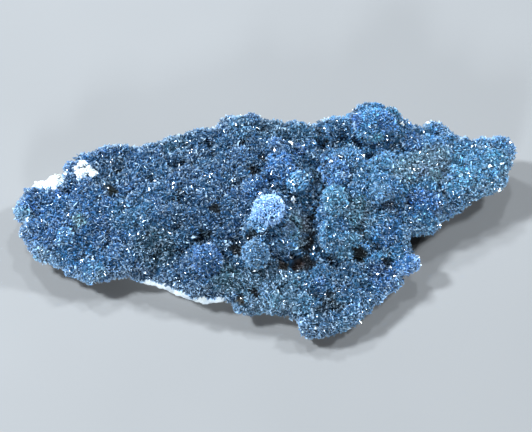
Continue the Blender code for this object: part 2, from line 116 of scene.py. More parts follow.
# %% [markdown]
# From arrays to Blender and back.
#
# Blender takes whole arrays through foreach_set, which is far quicker than adding one corner at a time, and
# gives them back through foreach_get. A piece's place is in its points, so its object stays at the origin,
# unturned and unscaled. A solid is made of loose triangles of all sizes, and fine relief needs many small,
# even ones. So a copy of the solid is merged and then remeshed.

# %% Mesh helpers
MERGE_DISTANCE = 0.001


def mesh_arrays(mesh):
    """A mesh's points in millimetres and its triangles."""
    points = np.empty(len(mesh.vertices) * 3, np.float32)
    mesh.vertices.foreach_get("co", points)
    mesh.calc_loop_triangles()
    triangles = np.empty(len(mesh.loop_triangles) * 3, np.int32)
    mesh.loop_triangles.foreach_get("vertices", triangles)
    return points.reshape(-1, 3).astype(float) / MM, triangles.reshape(-1, 3)


def add_piece(name, points, triangles, attributes=None, smooth=False):
    """A mesh object from points in millimetres and triangles, with numbers or colours for its points."""
    mesh = bpy.data.meshes.new(name)
    mesh.vertices.add(len(points))
    mesh.vertices.foreach_set("co", (points * MM).astype(np.float32).ravel())
    mesh.loops.add(triangles.size)
    mesh.loops.foreach_set("vertex_index", triangles.astype(np.int32).ravel())
    mesh.polygons.add(len(triangles))
    mesh.polygons.foreach_set("loop_start", np.arange(0, triangles.size, 3, dtype=np.int32))
    mesh.update(calc_edges=True)
    for key, values in (attributes or {}).items():
        if values.ndim == 1:
            layer = mesh.attributes.new(key, "FLOAT", "POINT")
            layer.data.foreach_set("value", values.astype(np.float32))
        else:
            layer = mesh.attributes.new(key, "FLOAT_COLOR", "POINT")
            opaque = np.concatenate([values, np.ones((len(values), 1))], axis=1)
            layer.data.foreach_set("color", opaque.astype(np.float32).ravel())
    if smooth:
        mesh.shade_smooth()
    else:
        mesh.shade_flat()
    piece = bpy.data.objects.new(name, mesh)
    bpy.context.scene.collection.objects.link(piece)
    print(name, len(triangles), "triangles")
    return piece


def even_skin(node, voxel):
    """Points and triangles of a CAD node's merged copy after a voxel remesh, which spaces them evenly."""
    merged = bmesh.new()
    merged.from_mesh(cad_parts[node].data)
    bmesh.ops.remove_doubles(merged, verts=merged.verts, dist=MERGE_DISTANCE * MM)
    mesh = bpy.data.meshes.new(node + "_copy")
    merged.to_mesh(mesh)
    merged.free()
    carrier = bpy.data.objects.new(node + "_copy", mesh)
    bpy.context.scene.collection.objects.link(carrier)
    remesh = carrier.modifiers.new("even skin", "REMESH")
    remesh.mode = "VOXEL"
    remesh.voxel_size = voxel * MM
    graph = bpy.context.evaluated_depsgraph_get()
    result = bpy.data.meshes.new_from_object(carrier.evaluated_get(graph))
    bpy.data.objects.remove(carrier)
    return mesh_arrays(result)


print("solids to clothe:", sorted(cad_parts))

# %% [markdown]
# The rock.
#
# The plate shows where the crust has chipped off, along the front edge and at the back. It is a white rock
# that breaks into sugary grains. It could be sculpted, but a broken face follows no plan, so random numbers
# do it as well. The solid's copy gets an even skin, and each point moves along its normal by a relief of two
# sizes: random numbers averaged once over their neighbours for the grains, and averaged many times for the
# lumps. The flat cut on which the specimen rests stays at nought. The same relief gives each point a shade,
# darker in the low places: painted shade, and the dust that lies there.

# %% Rock
ROCK_SPACING = 0.34
ROCK_RELIEF = 0.2
LUMP_RELIEF = 0.2
LUMP_AVERAGING = 10
CUT_BAND = 0.25
FACING_DOWN = -0.5
ROCK_MEAN_SHADE = 0.72
SHADE_RELIEF = 0.5

rock_points, rock_triangles = even_skin("white_matrix", ROCK_SPACING)
rock_normals = corner_normals(rock_points, rock_triangles)
grainy = neighbour_mean(rng.normal(0, 1, (len(rock_points), 1)), rock_triangles)
lumps = rng.normal(0, 1, (len(rock_points), 1))
for repeat in range(LUMP_AVERAGING):
    lumps = neighbour_mean(lumps, rock_triangles)
relief = ROCK_RELIEF * grainy + LUMP_RELIEF * lumps / lumps.std()
above_cut = rock_points[:, 2] > CUT_BAND
rock_points += np.where(above_cut[:, None], rock_normals * relief, 0)
on_cut = ~above_cut & (rock_normals[:, 2] < FACING_DOWN)
rock_points[on_cut, 2] = 0
rock_points[:, 2] = np.maximum(rock_points[:, 2], 0)
# The rock's shade is painted shade and dust: darker where the relief is low, lighter where it is high.
rock_painted_shade_and_dust = np.clip(ROCK_MEAN_SHADE + relief[:, 0] / SHADE_RELIEF, 0, 1)
rock = add_piece("white_rock", rock_points, rock_triangles, {"shade": rock_painted_shade_and_dust}, smooth=True)

# %% [markdown]
# The bed.
#
# Under the crystals lies the mass that they grow from. It could be modelled anew, but its form is the
# solid's own. So a merged copy of the solid gets an even skin, and a few rounds of averaging take the
# solid's facets away. The skin is then drawn in, so that the crystals' tips, and not their roots, reach the
# solid's surface. Beside the rock it moves outward a little, so that the crust meets the rock without a gap.

# %% Bed
BED_SPACING = 0.32
BED_SMOOTHING = 7
BED_DEPTH = 0.38
ROCK_REACH = 0.6
ROCK_MEETING = 0.25


def near_rock(points):
    """True for each point whose cell of a grid, or a cell next to it, holds a point of the rock."""
    steps = np.array([(x, y, z) for x in (-1, 0, 1) for y in (-1, 0, 1) for z in (-1, 0, 1)]) * ROCK_REACH
    rock_cells = np.unique(np.concatenate([cells_of(rock_points + step, ROCK_REACH) for step in steps]))
    return np.isin(cells_of(points, ROCK_REACH), rock_cells)


bed_points, bed_triangles = even_skin("vauxite_crust", BED_SPACING)
for repeat in range(BED_SMOOTHING):
    bed_points = neighbour_mean(bed_points, bed_triangles)
bed_normals = corner_normals(bed_points, bed_triangles)
by_rock = near_rock(bed_points)
bed_points -= bed_normals * np.where(by_rock, -ROCK_MEETING, BED_DEPTH)[:, None]
print("bed", len(bed_points), "points", len(bed_triangles), "triangles")

# %% [markdown]
# Places as the eye finds them.
#
# Rosettes, hollows and patches of colour were noted by where they show: so many millimetres across and up
# from the middle of the view, which looks down at 60 degrees. Typing three coordinates for each would be
# guesswork, and the form gives the third one anyway: of the bed's points on that line of sight, the place is
# the one nearest to the eye. From there on it is a ball in space, so it is right from every side.

# %% Places
ELEVATION = math.radians(60)
TO_EYE = np.array([0.0, -math.cos(ELEVATION), math.sin(ELEVATION)])
VIEW_UP = np.array([0.0, math.sin(ELEVATION), math.cos(ELEVATION)])
VIEW_MIDDLE = np.array([0.17, 3.99, 0.0])
SIGHT = 0.4
SIGHT_MARGIN = 0.01
FADE_START = 0.7
FADE_END = 1.2
WAVE = 1.7
LONG_WAVE = 2.9
WAVE_HEIGHT = 0.3


def seen_at(across, up):
    """The index of the bed's point that is nearest to the eye, of those on the line of sight."""
    from_middle = bed_points - VIEW_MIDDLE
    off = np.hypot(from_middle[:, 0] - across, from_middle @ VIEW_UP - up)
    on_line = np.flatnonzero(off < max(SIGHT, off.min() + SIGHT_MARGIN))
    return on_line[(from_middle[on_line] @ TO_EYE).argmax()]


def smooth_step(values):
    """0 below 0, 1 above 1, and 3 t squared minus 2 t cubed between them."""
    share = np.clip(values, 0, 1)
    return share * share * (3 - 2 * share)


def share_within(points, place, reach):
    """A smooth step from 1 at 0.7 of the reach from the place down to 0 at 1.2 of it."""
    distance = np.linalg.norm(points - place, axis=1) / reach
    return smooth_step((FADE_END - distance) / (FADE_END - FADE_START))


def ragged(points):
    """Each coordinate plus a sine of the other two, so that a ball of such points has a torn edge."""
    along = points[:, [1, 2, 0]] / WAVE + points[:, [2, 0, 1]] / LONG_WAVE
    return points + WAVE_HEIGHT * np.sin(2 * math.pi * along)


print("the bed at the middle of the view, in mm", bed_points[seen_at(0, 0)].round(2))

# %% [markdown]
# The rosettes.
#
# The round clusters that stand out make this specimen known, so chance doesn't place them. Each has its
# place, across and up, and its reach in millimetres, and its colour.

# %% Rosettes
ROSETTES = {
    "bright": (0.5, 0.9, 2.5, "5a8ebc"),
    "bright foot": (-1.6, -1.5, 1.3, "4e80ac"),
    "pale": (4.5, 5.1, 1.6, "4686b4"),
    "round": (2.3, 7.2, 2.2, "509ae2"),
    "indigo": (-1.6, 4.5, 1.6, "70b4f6"),
    "deep blue": (1.2, 10.1, 1.3, "88bcf4"),
    "deep blue small": (4.9, 9.6, 1.0, "3470c4"),
    "back left": (-4.1, 8.8, 1.7, "6696ca"),
    "back edge": (-3.2, 13.2, 1.8, "6ca0cc"),
    "back right": (5.0, 12.4, 1.9, "5280a4"),
    "upper wall": (10.0, 6.8, 1.9, "64aee8"),
    "upper wall small": (12.1, 8.9, 1.4, "76b8ea"),
    "middle wall": (9.3, 2.3, 2.0, "84c8ea"),
    "lower wall": (9.2, -2.7, 2.4, "5aa4d6"),
    "lower wall right": (12.0, -4.2, 1.7, "94daf8"),
    "small knob": (10.0, 12.6, 1.9, "4684be"),
    "knob": (14.8, 13.4, 2.5, "68c0ff"),
    "knob left": (13.0, 13.6, 1.3, "427ec8"),
    "knob right": (17.2, 13.4, 1.7, "58a8f2"),
    # The knob's foot lies in the knob's shadow, and this lighter colour makes up for it: painted light.
    "knob foot": (16.2, 11.4, 1.4, "88ccff"),
    "plateau": (16.2, 7.8, 2.0, "76c2e8"),
    "plateau front": (16.4, 3.7, 1.8, "98d0f6"),
    "plateau back": (21.3, 11.0, 1.5, "508cd0"),
    "wing root": (23.0, 4.9, 1.3, "6cbcf4"),
    "nub": (20.4, -6.8, 1.9, "3e96e4"),
    "front": (-1.2, -5.6, 2.1, "94d0ff"),
    "body front": (-7.9, -6.2, 2.2, "64aeec"),
    "terrace left": (-3.4, -12.9, 1.3, "5e9cc8"),
    "terrace": (5.6, -12.7, 1.5, "98daff"),
    "left lobe": (-28.8, -3.1, 1.6, "8ccaff"),
    "left lobe front": (-25.8, -7.8, 1.7, "3884be"),
    "left lobe edge": (-29.4, -6.2, 1.7, "4ca2de"),
    "left tip": (-35.2, 0.7, 1.2, "92dcff"),
    "shoulder": (-13.0, 5.2, 1.5, "3c76b0"),
}

print(len(ROSETTES), "rosettes")

# %% [markdown]
# The clusters.
#
# Each cluster started at one point, so its crystals fan out from there, and a dark groove is left between
# two clusters. Away from the rosettes one centre is taken in each cell of a coarse grid that the bed runs
# through. Each point of the bed belongs to the centre that is nearest in terms of its reach. The bed could
# stay flat under the crystals, but the grooves would vanish. So it swells into a dome over each centre:
# height = full height x (1 - (distance / reach) squared), and below nought it sinks into the groove.

# %% Clusters
CLUSTER_PITCH = 2.0
CLUSTER_REACH = 1.1
ROSETTE_CLEARANCE = 1.25
CHUNK = 4000
DOME_HEIGHT = 0.38
GROOVE_DEPTH = 0.6


def one_per_cell(points, cell):
    """The index of one point in each cell, taken in random order."""
    order = rng.permutation(len(points))
    return order[np.unique(cells_of(points[order], cell), return_index=True)[1]]


def nearest(points, centres, reaches):
    """For each point, the centre with the least distance / reach, and that share. Chunks spare memory."""
    index = np.empty(len(points), int)
    share = np.empty(len(points))
    for start in range(0, len(points), CHUNK):
        chunk = slice(start, start + CHUNK)
        shares = ((points[chunk, None, :] - centres[None, :, :]) ** 2).sum(axis=2) / reaches ** 2
        index[chunk] = shares.argmin(axis=1)
        share[chunk] = np.sqrt(shares.min(axis=1))
    return index, share


rosette_at = np.array([seen_at(across, up) for across, up, reach, colour in ROSETTES.values()])
rosette_reach = np.array([reach for across, up, reach, colour in ROSETTES.values()])
spread = one_per_cell(bed_points, CLUSTER_PITCH)
free = nearest(bed_points[spread], bed_points[rosette_at], rosette_reach)[1] > ROSETTE_CLEARANCE
centre_at = np.concatenate([rosette_at, spread[free]])
centres = bed_points[centre_at]
reaches = np.concatenate([rosette_reach, np.full(free.sum(), CLUSTER_REACH)])
cluster_of, cluster_share = nearest(bed_points, centres, reaches)
way_up = unit(np.stack([
    np.bincount(cluster_of, bed_normals[:, axis], len(centres)) for axis in range(3)
], axis=1))
dome = np.clip(1 - cluster_share ** 2, -1, 1)
swell = np.where(dome > 0, DOME_HEIGHT, GROOVE_DEPTH) * dome * ~by_rock
bed_points += bed_normals * swell[:, None]
bed_normals = corner_normals(bed_points, bed_triangles)
print(int(free.sum()), "other clusters")

# %% [markdown]
# One crystal.
#
# A vauxite crystal is a thin tablet. Here it is a closed box of eight points and twelve triangles, and
# three forms share those triangles: a tablet ground to a chisel, one cut off slantwise, and one that comes
# nearly to a point. It could have bevels and growth lines, but they would be finer than a pixel. Each flat
# face glints as a whole, so few are enough.

# %% Crystal forms
TRIES_PER_CELL = 3
CRYSTAL_FORMS = np.array([
    [
        (-0.46, -0.5, 0.0), (0.46, -0.5, 0.0), (0.46, 0.5, 0.0), (-0.46, 0.5, 0.0),
        (-0.5, -0.16, 1.0), (0.46, -0.16, 0.92), (0.46, 0.16, 0.92), (-0.5, 0.16, 1.0),
    ], [
        (-0.45, -0.5, 0.0), (0.45, -0.5, 0.0), (0.45, 0.5, 0.0), (-0.45, 0.5, 0.0),
        (-0.5, -0.45, 0.66), (0.5, -0.5, 1.0), (0.5, 0.5, 0.94), (-0.5, 0.45, 0.60),
    ], [
        (-0.4, -0.5, 0.0), (0.4, -0.5, 0.0), (0.4, 0.5, 0.0), (-0.4, 0.5, 0.0),
        (-0.16, -0.3, 0.94), (0.16, -0.3, 1.0), (0.16, 0.3, 1.0), (-0.16, 0.3, 0.94),
    ],
])
CRYSTAL_TRIANGLES = np.array([
    (0, 2, 1), (0, 3, 2), (0, 1, 5), (0, 5, 4), (1, 2, 6), (1, 6, 5),
    (2, 3, 7), (2, 7, 6), (3, 0, 4), (3, 4, 7), (4, 5, 6), (4, 6, 7),
])
FORM_POINTS = CRYSTAL_FORMS.shape[1]


def stand_crystals(forms, roots, axes, flats, widths, thicknesses, lengths):
    """Points and triangles of many crystals: root + width x flat + thickness x side + length x axis."""
    sides = np.cross(axes, flats)
    points = (
        roots[:, None, :]
        + (widths[:, None] * forms[:, :, 0])[..., None] * flats[:, None, :]
        + (thicknesses[:, None] * forms[:, :, 1])[..., None] * sides[:, None, :]
        + (lengths[:, None] * forms[:, :, 2])[..., None] * axes[:, None, :]
    )
    start = np.arange(len(roots)) * FORM_POINTS
    triangles = start[:, None, None] + CRYSTAL_TRIANGLES[None, :, :]
    return points.reshape(-1, 3), triangles.reshape(-1, 3)


def across_of(axes):
    """A random direction at right angles to each axis: a random vector less its part along the axis."""
    turned = rng.normal(0, 1, axes.shape)
    return unit(turned - (turned * axes).sum(axis=1)[:, None] * axes)


def scatter(points, triangles, pitch):
    """Random places on a mesh, by area, thinned to one a cell. Returns each one's corners and weights.

    The weights are 1 - r, r x (1 - s) and r x s, where s and the square of r are random numbers.
    """
    a, b, c = (points[triangles[:, corner]] for corner in range(3))
    areas = np.linalg.norm(np.cross(b - a, c - a), axis=1) / 2
    wanted = int(TRIES_PER_CELL * areas.sum() / pitch ** 2)
    chosen = rng.choice(len(triangles), wanted, p=areas / areas.sum())
    first, second = np.sqrt(rng.random(wanted)), rng.random(wanted)
    weights = np.stack([1 - first, first * (1 - second), first * second], axis=1)
    places = (points[triangles[chosen]] * weights[:, :, None]).sum(axis=1)
    kept = one_per_cell(places, pitch)
    return triangles[chosen[kept]], weights[kept]


print(len(CRYSTAL_FORMS), "forms of", FORM_POINTS, "points and", len(CRYSTAL_TRIANGLES), "triangles")

# %% [markdown]
# Where the crystals stand.
#
# One crystal grows in each small cell of a grid that the bed runs through. Places drawn at random alone
# would leave bald spots and heaps, and the grid keeps them apart. Some are left out in the hollows, and all
# of them where the crust has chipped off. The crevice is a row of small hollows along a bent line. None
# grows on the underside, where the crust sits on the rock.

# %% Crystal places
# Each hollow's colour is painted shade where light hardly reaches, in some with the brown or olive of what
# lies there.
HOLLOWS = {
    "body pit": (-9.0, -2.8, 1.0, "5a7684"),
    "body spot": (-7.2, 1.5, 0.9, "10181a"),
    "left pit": (-21.9, 4.1, 1.0, "2c3428"),
    "rosette shade": (-2.5, -2.6, 1.0, "1c2a34"),
    "valley back": (-1.6, 6.6, 1.25, "0a1018"),
    "valley top": (-0.6, 8.7, 0.9, "1e2a38"),
    "black hollow": (5.6, -6.4, 1.7, "0a0605"),
    "black hollow middle": (4.2, -6.8, 1.1, "4e362c"),
    "black hollow left": (2.8, -7.1, 1.0, "565246"),
    "groove": (9.0, -6.3, 0.7, "000c14"),
    "step hollow": (13.3, -5.8, 1.2, "24261c"),
    "hole edge": (17.4, -6.8, 0.7, "06080a"),
    "slot": (-1.5, -10.3, 0.9, "10100a"),
    "brown patch": (-3.6, -11.3, 0.9, "50442f"),
    "knob shade": (13.9, 10.9, 0.5, "142030"),
    "cluster shade": (-4.0, -4.3, 1.15, "0c1218"),
}
CHIPS = {
    "patch top": (-26.3, 7.0, 0.7), "patch right": (-25.1, 6.3, 0.8), "patch top right": (-25.4, 6.9, 0.6),
    "patch left": (-27.2, 6.2, 0.5), "edge": (-30.0, 4.9, 0.5), "edge right": (-29.2, 5.4, 0.4),
}
CREVICE = np.array([
    (8.3, 13.0, 0.35), (8.3, 10.4, 0.4), (8.4, 6.0, 0.4), (7.7, 3.0, 0.45), (6.9, 0.2, 0.55),
    (6.4, -2.6, 0.65), (6.2, -4.8, 0.8),
])
CREVICE_STEP = 0.8
HOLLOW_GAPS = 0.15
CHIP_SHARE = 0.5
CRYSTAL_PITCH = 0.222
ROCK_SOUNDINGS = (0.5, 1.0, 1.5)

# The crevice's near black is painted shade in the crack.
for number, up in enumerate(np.arange(CREVICE[0, 1], CREVICE[-1, 1], -CREVICE_STEP)):
    across, reach = (np.interp(-up, -CREVICE[:, 1], CREVICE[:, column]) for column in (0, 2))
    HOLLOWS[f"crevice {number}"] = (float(across), float(up), float(reach), "0a0c0e")

corners, weights = scatter(bed_points, bed_triangles, CRYSTAL_PITCH)
roots = (bed_points[corners] * weights[:, :, None]).sum(axis=1)
normals = unit((bed_normals[corners] * weights[:, :, None]).sum(axis=1))
share = (cluster_share[corners] * weights).sum(axis=1)
over_rock = np.any([near_rock(roots + normals * depth) for depth in ROCK_SOUNDINGS], axis=0)
stands = ~(over_rock & (normals[:, 2] < FACING_DOWN))
for across, up, reach, colour in HOLLOWS.values():
    within = share_within(ragged(roots), bed_points[seen_at(across, up)], reach)
    stands &= rng.random(len(roots)) > HOLLOW_GAPS * within
chipped = np.any([
    share_within(ragged(roots), bed_points[seen_at(across, up)], reach) > CHIP_SHARE
    for across, up, reach in CHIPS.values()
], axis=0)
chip_seats, chip_normals = roots[chipped], normals[chipped]
stands &= ~chipped
roots, normals, share = roots[stands], normals[stands], share[stands]
cluster = cluster_of[corners[stands, 0]]
in_rosette = cluster < len(rosette_at)
count = len(roots)
print(count, "crystals of", len(stands), "places")

# %% [markdown]
# How each crystal stands.
#
# Crystals that all stood straight, like a brush's hairs, would look machined. A real one leans from the
# bed's own normal towards the way out of its cluster and a little at random, and is turned at random about
# its own length. Most are stubby and show about a quarter of a millimetre, and three in ten are longer,
# thinner blades. Those that would stand out above the solids' top are shortened.

# %% Crystal stances
ROOT_SINK = 0.2
FAN = 0.55
ROSETTE_FAN = 0.9
LEAST_RISE = 0.5
LEAN = 0.42
ROSETTE_LEAN = 0.2
LENGTHS = (0.34, 0.56)
WIDTHS = (0.2, 0.38)
FLATNESS = (0.3, 0.8)
BLADE_SHARE = 0.3
BLADE_LENGTH = 1.45
BLADE_WIDTH = 1.8
BLADE_THICKNESS = 0.4
HEADROOM = 0.05
LEAST_CLIMB = 0.1

way_out = unit(roots - (centres - way_up * reaches[:, None])[cluster])
way_out += normals * np.maximum(0, LEAST_RISE - (way_out * normals).sum(axis=1))[:, None]
fan = np.where(in_rosette, ROSETTE_FAN, FAN)[:, None]
lean = np.where(in_rosette, ROSETTE_LEAN, LEAN)[:, None]
axes = unit(normals * (1 - fan) + way_out * fan + rng.normal(0, 1, normals.shape) * lean)
flats = across_of(axes)
lengths = rng.uniform(*LENGTHS, count)
widths = rng.uniform(*WIDTHS, count)
thicknesses = widths * rng.uniform(*FLATNESS, count)
blade = rng.random(count) < BLADE_SHARE
lengths[blade] *= BLADE_LENGTH
widths[blade] *= BLADE_WIDTH
thicknesses[blade] *= BLADE_THICKNESS
form_of = rng.integers(0, len(CRYSTAL_FORMS), count)
seats = roots - normals * ROOT_SINK
ceiling = cad_box[1][2] / MM + HEADROOM
room = ceiling - seats[:, 2] - widths / 2 * np.abs(flats[:, 2])
climb = np.maximum(axes[:, 2], LEAST_CLIMB)
tall = lengths * climb > room
lengths[tall] = (room / climb)[tall]
print(int(tall.sum()), "crystals shortened to end just above the solids' top")

# %% [markdown]
# Colour by place.
#
# Vauxite's blue changes with the size and the age of the crystals: indigo on the left, sky blue on
# the knob and the rosettes, grey-green where clay lies between the crystals, and nearly black in the
# hollows, where light hardly reaches. A painted picture could carry this, but thousands of crystals have no
# skin to lay it on. So each zone is a ball with a place, a reach, a colour and a strength, and each crystal
# takes the colour that it finds at its root.

# %% Zones
BLUES = {-26: "3e80bc", -13: "326e9e", 0: "3270a2", 16: "5ca4d6", 30: "62aadc"}
ZONES = {
    "left lobe front": (-27.0, -7.4, 4.0, "408cc2", 0.7),
    "left end": (-34.2, 0.4, 2.2, "60a0e2", 0.7),
    "left front edge": (-31.4, -6.0, 1.8, "a4d0f4", 0.85),
    "left front edge low": (-24.0, -9.0, 2.0, "74c4f4", 0.85),
    "green tint": (-26.4, -0.8, 1.1, "c4e8e8", 0.65),
    "left middle": (-19.0, 1.0, 3.4, "4c8eb8", 0.7),
    "dull middle": (-15.4, -4.4, 3.2, "325a68", 0.75),
    "back edge": (-13.6, 10.8, 2.2, "3e7694", 0.8),
    "dull back": (-11.0, 7.6, 3.0, "447098", 0.6),
    "dull shoulder": (-22.0, 6.4, 3.0, "3e627e", 0.6),
    "body": (-9.0, 1.0, 3.0, "346c9e", 0.6),
    "top edge": (1.0, 12.8, 2.6, "4a7088", 0.7),
    "ledge": (4.2, -0.6, 2.4, "92b2cc", 0.85),
    "ledge front": (3.6, -3.6, 2.0, "84c4ee", 0.7),
    "crevice side": (6.0, -1.2, 1.2, "a8b6ba", 0.8),
    "crevice side low": (5.8, -3.6, 1.3, "6e7a7c", 0.8),
    "ledge back": (7.0, 5.6, 1.6, "7096ae", 0.8),
    "clay": (23.4, 7.6, 3.4, "98b4c0", 0.75),
    "clay left": (19.6, 6.4, 2.4, "90b4be", 0.7),
    "clay by the wall": (13.4, 0.8, 2.4, "7cacc0", 0.8),
    "clay by the wall front": (14.0, -2.0, 1.9, "78a8c4", 0.7),
    "rusty": (17.3, 1.7, 0.9, "6c7c96", 0.8),
    "wing": (31.0, 6.6, 5.0, "7cc4f2", 0.8),
    "wing front": (31.0, 3.4, 2.0, "88ccff", 0.85),
    "deep front": (22.4, 1.8, 2.8, "3684d2", 0.75),
    "blue front": (22.6, -1.4, 2.2, "6cc0ff", 0.9),
    "right front": (17.4, -3.2, 2.6, "3888c6", 0.8),
    "right terrace": (16.6, -8.0, 2.4, "0c4a92", 0.85),
    "terrace": (12.0, -8.6, 3.4, "2c608a", 0.7),
    "terrace edge": (17.6, -10.4, 2.2, "68b4fa", 0.7),
    "terrace clay": (0.4, -10.0, 4.6, "6894aa", 0.8),
    "terrace clay left": (-5.2, -9.2, 2.4, "6290a0", 0.8),
    "terrace front": (0.0, -13.0, 2.6, "86bcde", 0.8),
    # The terrace's valley: painted shade, with an olive tint.
    "terrace valley": (8.9, -11.5, 1.2, "0e1c20", 0.9),
    "terrace valley left": (7.8, -13.1, 1.4, "122024", 0.85),
    "terrace valley right": (9.9, -12.9, 1.2, "0a1c24", 0.9),
    "lower lobe": (7.2, -15.6, 2.2, "5e8cb4", 0.8),
}

print(len(ZONES), "zones")

# %% [markdown]
# From places to a colour.
#
# A point's colour is laid on in layers: first a blend from left to right, then zone by zone, then its own
# rosette's colour, and the hollows' painted shade last. A wave through space tears the edges, because a zone
# with a smooth edge would look sprayed on. The hollows also say how much painted shade a point has, for the
# painted highlight further down.

# %% Tints
STRENGTHS = {
    "bright": 1.0, "bright foot": 1.0, "pale": 0.95, "knob": 0.85, "knob left": 0.85, "knob right": 0.85,
    "knob foot": 0.85, "nub": 0.85, "round": 0.8, "middle wall": 0.75, "lower wall": 0.75,
}
OTHER_STRENGTH = 0.6
ROSETTE_END = 1.5
ROSETTE_FADE = 0.3


def linear(hex_code):
    """A colour such as 2f6fb0 made linear: c / 12.92 if c is tiny, else ((c + 0.055) / 1.055) ** 2.4."""
    channels = np.array([int(hex_code[start:start + 2], 16) / 255 for start in (0, 2, 4)])
    return np.where(channels <= 0.04045, channels / 12.92, ((channels + 0.055) / 1.055) ** 2.4)


ZONE_PLACES = {
    values[:2]: bed_points[seen_at(*values[:2])] for values in [*ZONES.values(), *HOLLOWS.values()]
}
ROSETTE_COLOURS = np.array([linear(colour) for across, up, reach, colour in ROSETTES.values()])
ROSETTE_STRENGTHS = np.array([STRENGTHS.get(name, OTHER_STRENGTH) for name in ROSETTES])


def tinted(points, cluster, share):
    """Linear colour and the hollows' painted shade at each point: (1 - share) x colour + share x new colour,
    layer by layer.
    """
    stops = np.array([linear(colour) for colour in BLUES.values()])
    tint = np.stack([np.interp(points[:, 0], list(BLUES), stops[:, channel]) for channel in range(3)], axis=1)
    torn = ragged(points)
    for across, up, reach, colour, strength in ZONES.values():
        much = strength * share_within(torn, ZONE_PLACES[across, up], reach)[:, None]
        tint = (1 - much) * tint + much * linear(colour)
    own = np.minimum(cluster, len(ROSETTES) - 1)
    fade = ROSETTE_STRENGTHS[own] * smooth_step((ROSETTE_END - share) / ROSETTE_FADE)
    much = np.where(cluster < len(ROSETTES), fade, 0)[:, None]
    tint = (1 - much) * tint + much * ROSETTE_COLOURS[own]
    dark = np.zeros(len(points))
    for across, up, reach, colour in HOLLOWS.values():
        much = share_within(torn, ZONE_PLACES[across, up], reach)
        tint = (1 - much[:, None]) * tint + much[:, None] * linear(colour)
        dark = np.maximum(dark, much)
    return tint, dark


print(len(ZONE_PLACES), "places of zones and hollows")

# %% [markdown]
# Tones.
#
# No two crystals are equally bright. Each cluster has its tone and a slight hue of its own, and each crystal
# has its own tone, all spread as e to the power of a normal number. The crystals on a cluster's shoulder get
# a painted highlight, on a rosette most of all, and those in the groove round it get painted shade. One
# tone for all could be left to the lamps, but then the crust would read as one blue sponge.

# %% Tones
CLUSTER_SPREAD = 0.18
HUE_SPREAD = np.array([0.06, -0.02, 0.02])
OWN_SPREAD = 0.54
FULL_TONE = 1.22
SHOULDER = 0.82
SHOULDER_WIDTH = 0.24
SHOULDER_PAINTED_LIGHT = 0.3
ROSETTE_PAINTED_LIGHT = 0.75
GROOVE_PAINTED_SHADE = 0.42
GROOVE_START = 1.0
GROOVE_FADE = 0.25
PALEST_ROSETTES = ("bright", "bright foot", "pale")
BRIGHT_SPREAD = 0.25

tint, dark = tinted(roots, cluster, share)
tint *= np.exp(rng.normal(0, 1, (len(centres), 1)) * HUE_SPREAD)[cluster]
brightest = np.isin(cluster, [list(ROSETTES).index(name) for name in PALEST_ROSETTES])
tone = np.exp(rng.normal(0, CLUSTER_SPREAD, len(centres)))[cluster]
tone *= np.exp(rng.normal(0, 1, count) * np.where(brightest, BRIGHT_SPREAD, OWN_SPREAD))
# Painted highlight on each cluster's shoulder, and painted shade in the groove round it.
light = np.where(in_rosette, ROSETTE_PAINTED_LIGHT, SHOULDER_PAINTED_LIGHT)
tone *= 1 + light * np.exp(-((share - SHOULDER) / SHOULDER_WIDTH) ** 2)
tone *= 1 - (1 - GROOVE_PAINTED_SHADE) * smooth_step((share - GROOVE_START) / GROOVE_FADE)
tint *= np.minimum(tone, FULL_TONE)[:, None]
print("tones from", tone.min().round(2), "to", tone.max().round(2))

# %% [markdown]
# Painted glints and milky crystals.
#
# The lamps make glints by themselves, but fewer than the real crust shows, so some crystals get a painted
# glint. Few crystals happen to face the light, so its share is a random number to a high power: next to
# nothing for most and nearly one for a few. Blades and the brightest crystals get more painted highlight, and
# the broken outer edge of the crust a painted rim of light. That edge is found as the places with an empty
# cell next to them in plan. One crystal in four is milky, but nearly every one on the palest rosettes is, and
# there they are broader as well.

# %% Painted glints and milky crystals
PALE_POWER = 7
PALE_WIDTH = 0.7
PALE_MUCH = 0.85
BLADE_GLINTS = 0.3
BLADE_PAINTED_GLINT = (0.06, 0.6)
PAINTED_HIGHLIGHT_BLUE = linear("cfe8fc")
EDGE_CELL = 0.5
EDGE_REACH = 0.9
EDGE_PAINTED_LIGHT = 0.3
BRIGHT_PAINTED_LIGHT = 0.2
MILKY_TONE = 0.62
MILKY_SHARE = 0.25
MILKY_ROSETTES = {"bright": 1.0, "bright foot": 1.0, "pale": 0.7, "nub": 0.4, "knob": 0.4, "knob left": 0.5}
LIGHTEST = 0.95
HOLLOW_LENGTH = 0.7
BRIGHT_TONE = 0.9
BRIGHT_WIDTH = 1.25

plan = roots * (1, 1, 0)
filled = np.unique(cells_of(plan, EDGE_CELL))
around = [(x * EDGE_REACH, y * EDGE_REACH, 0) for x in (-1, 0, 1) for y in (-1, 0, 1)]
at_edge = np.any([~np.isin(cells_of(plan + np.array(step), EDGE_CELL), filled) for step in around], axis=0)
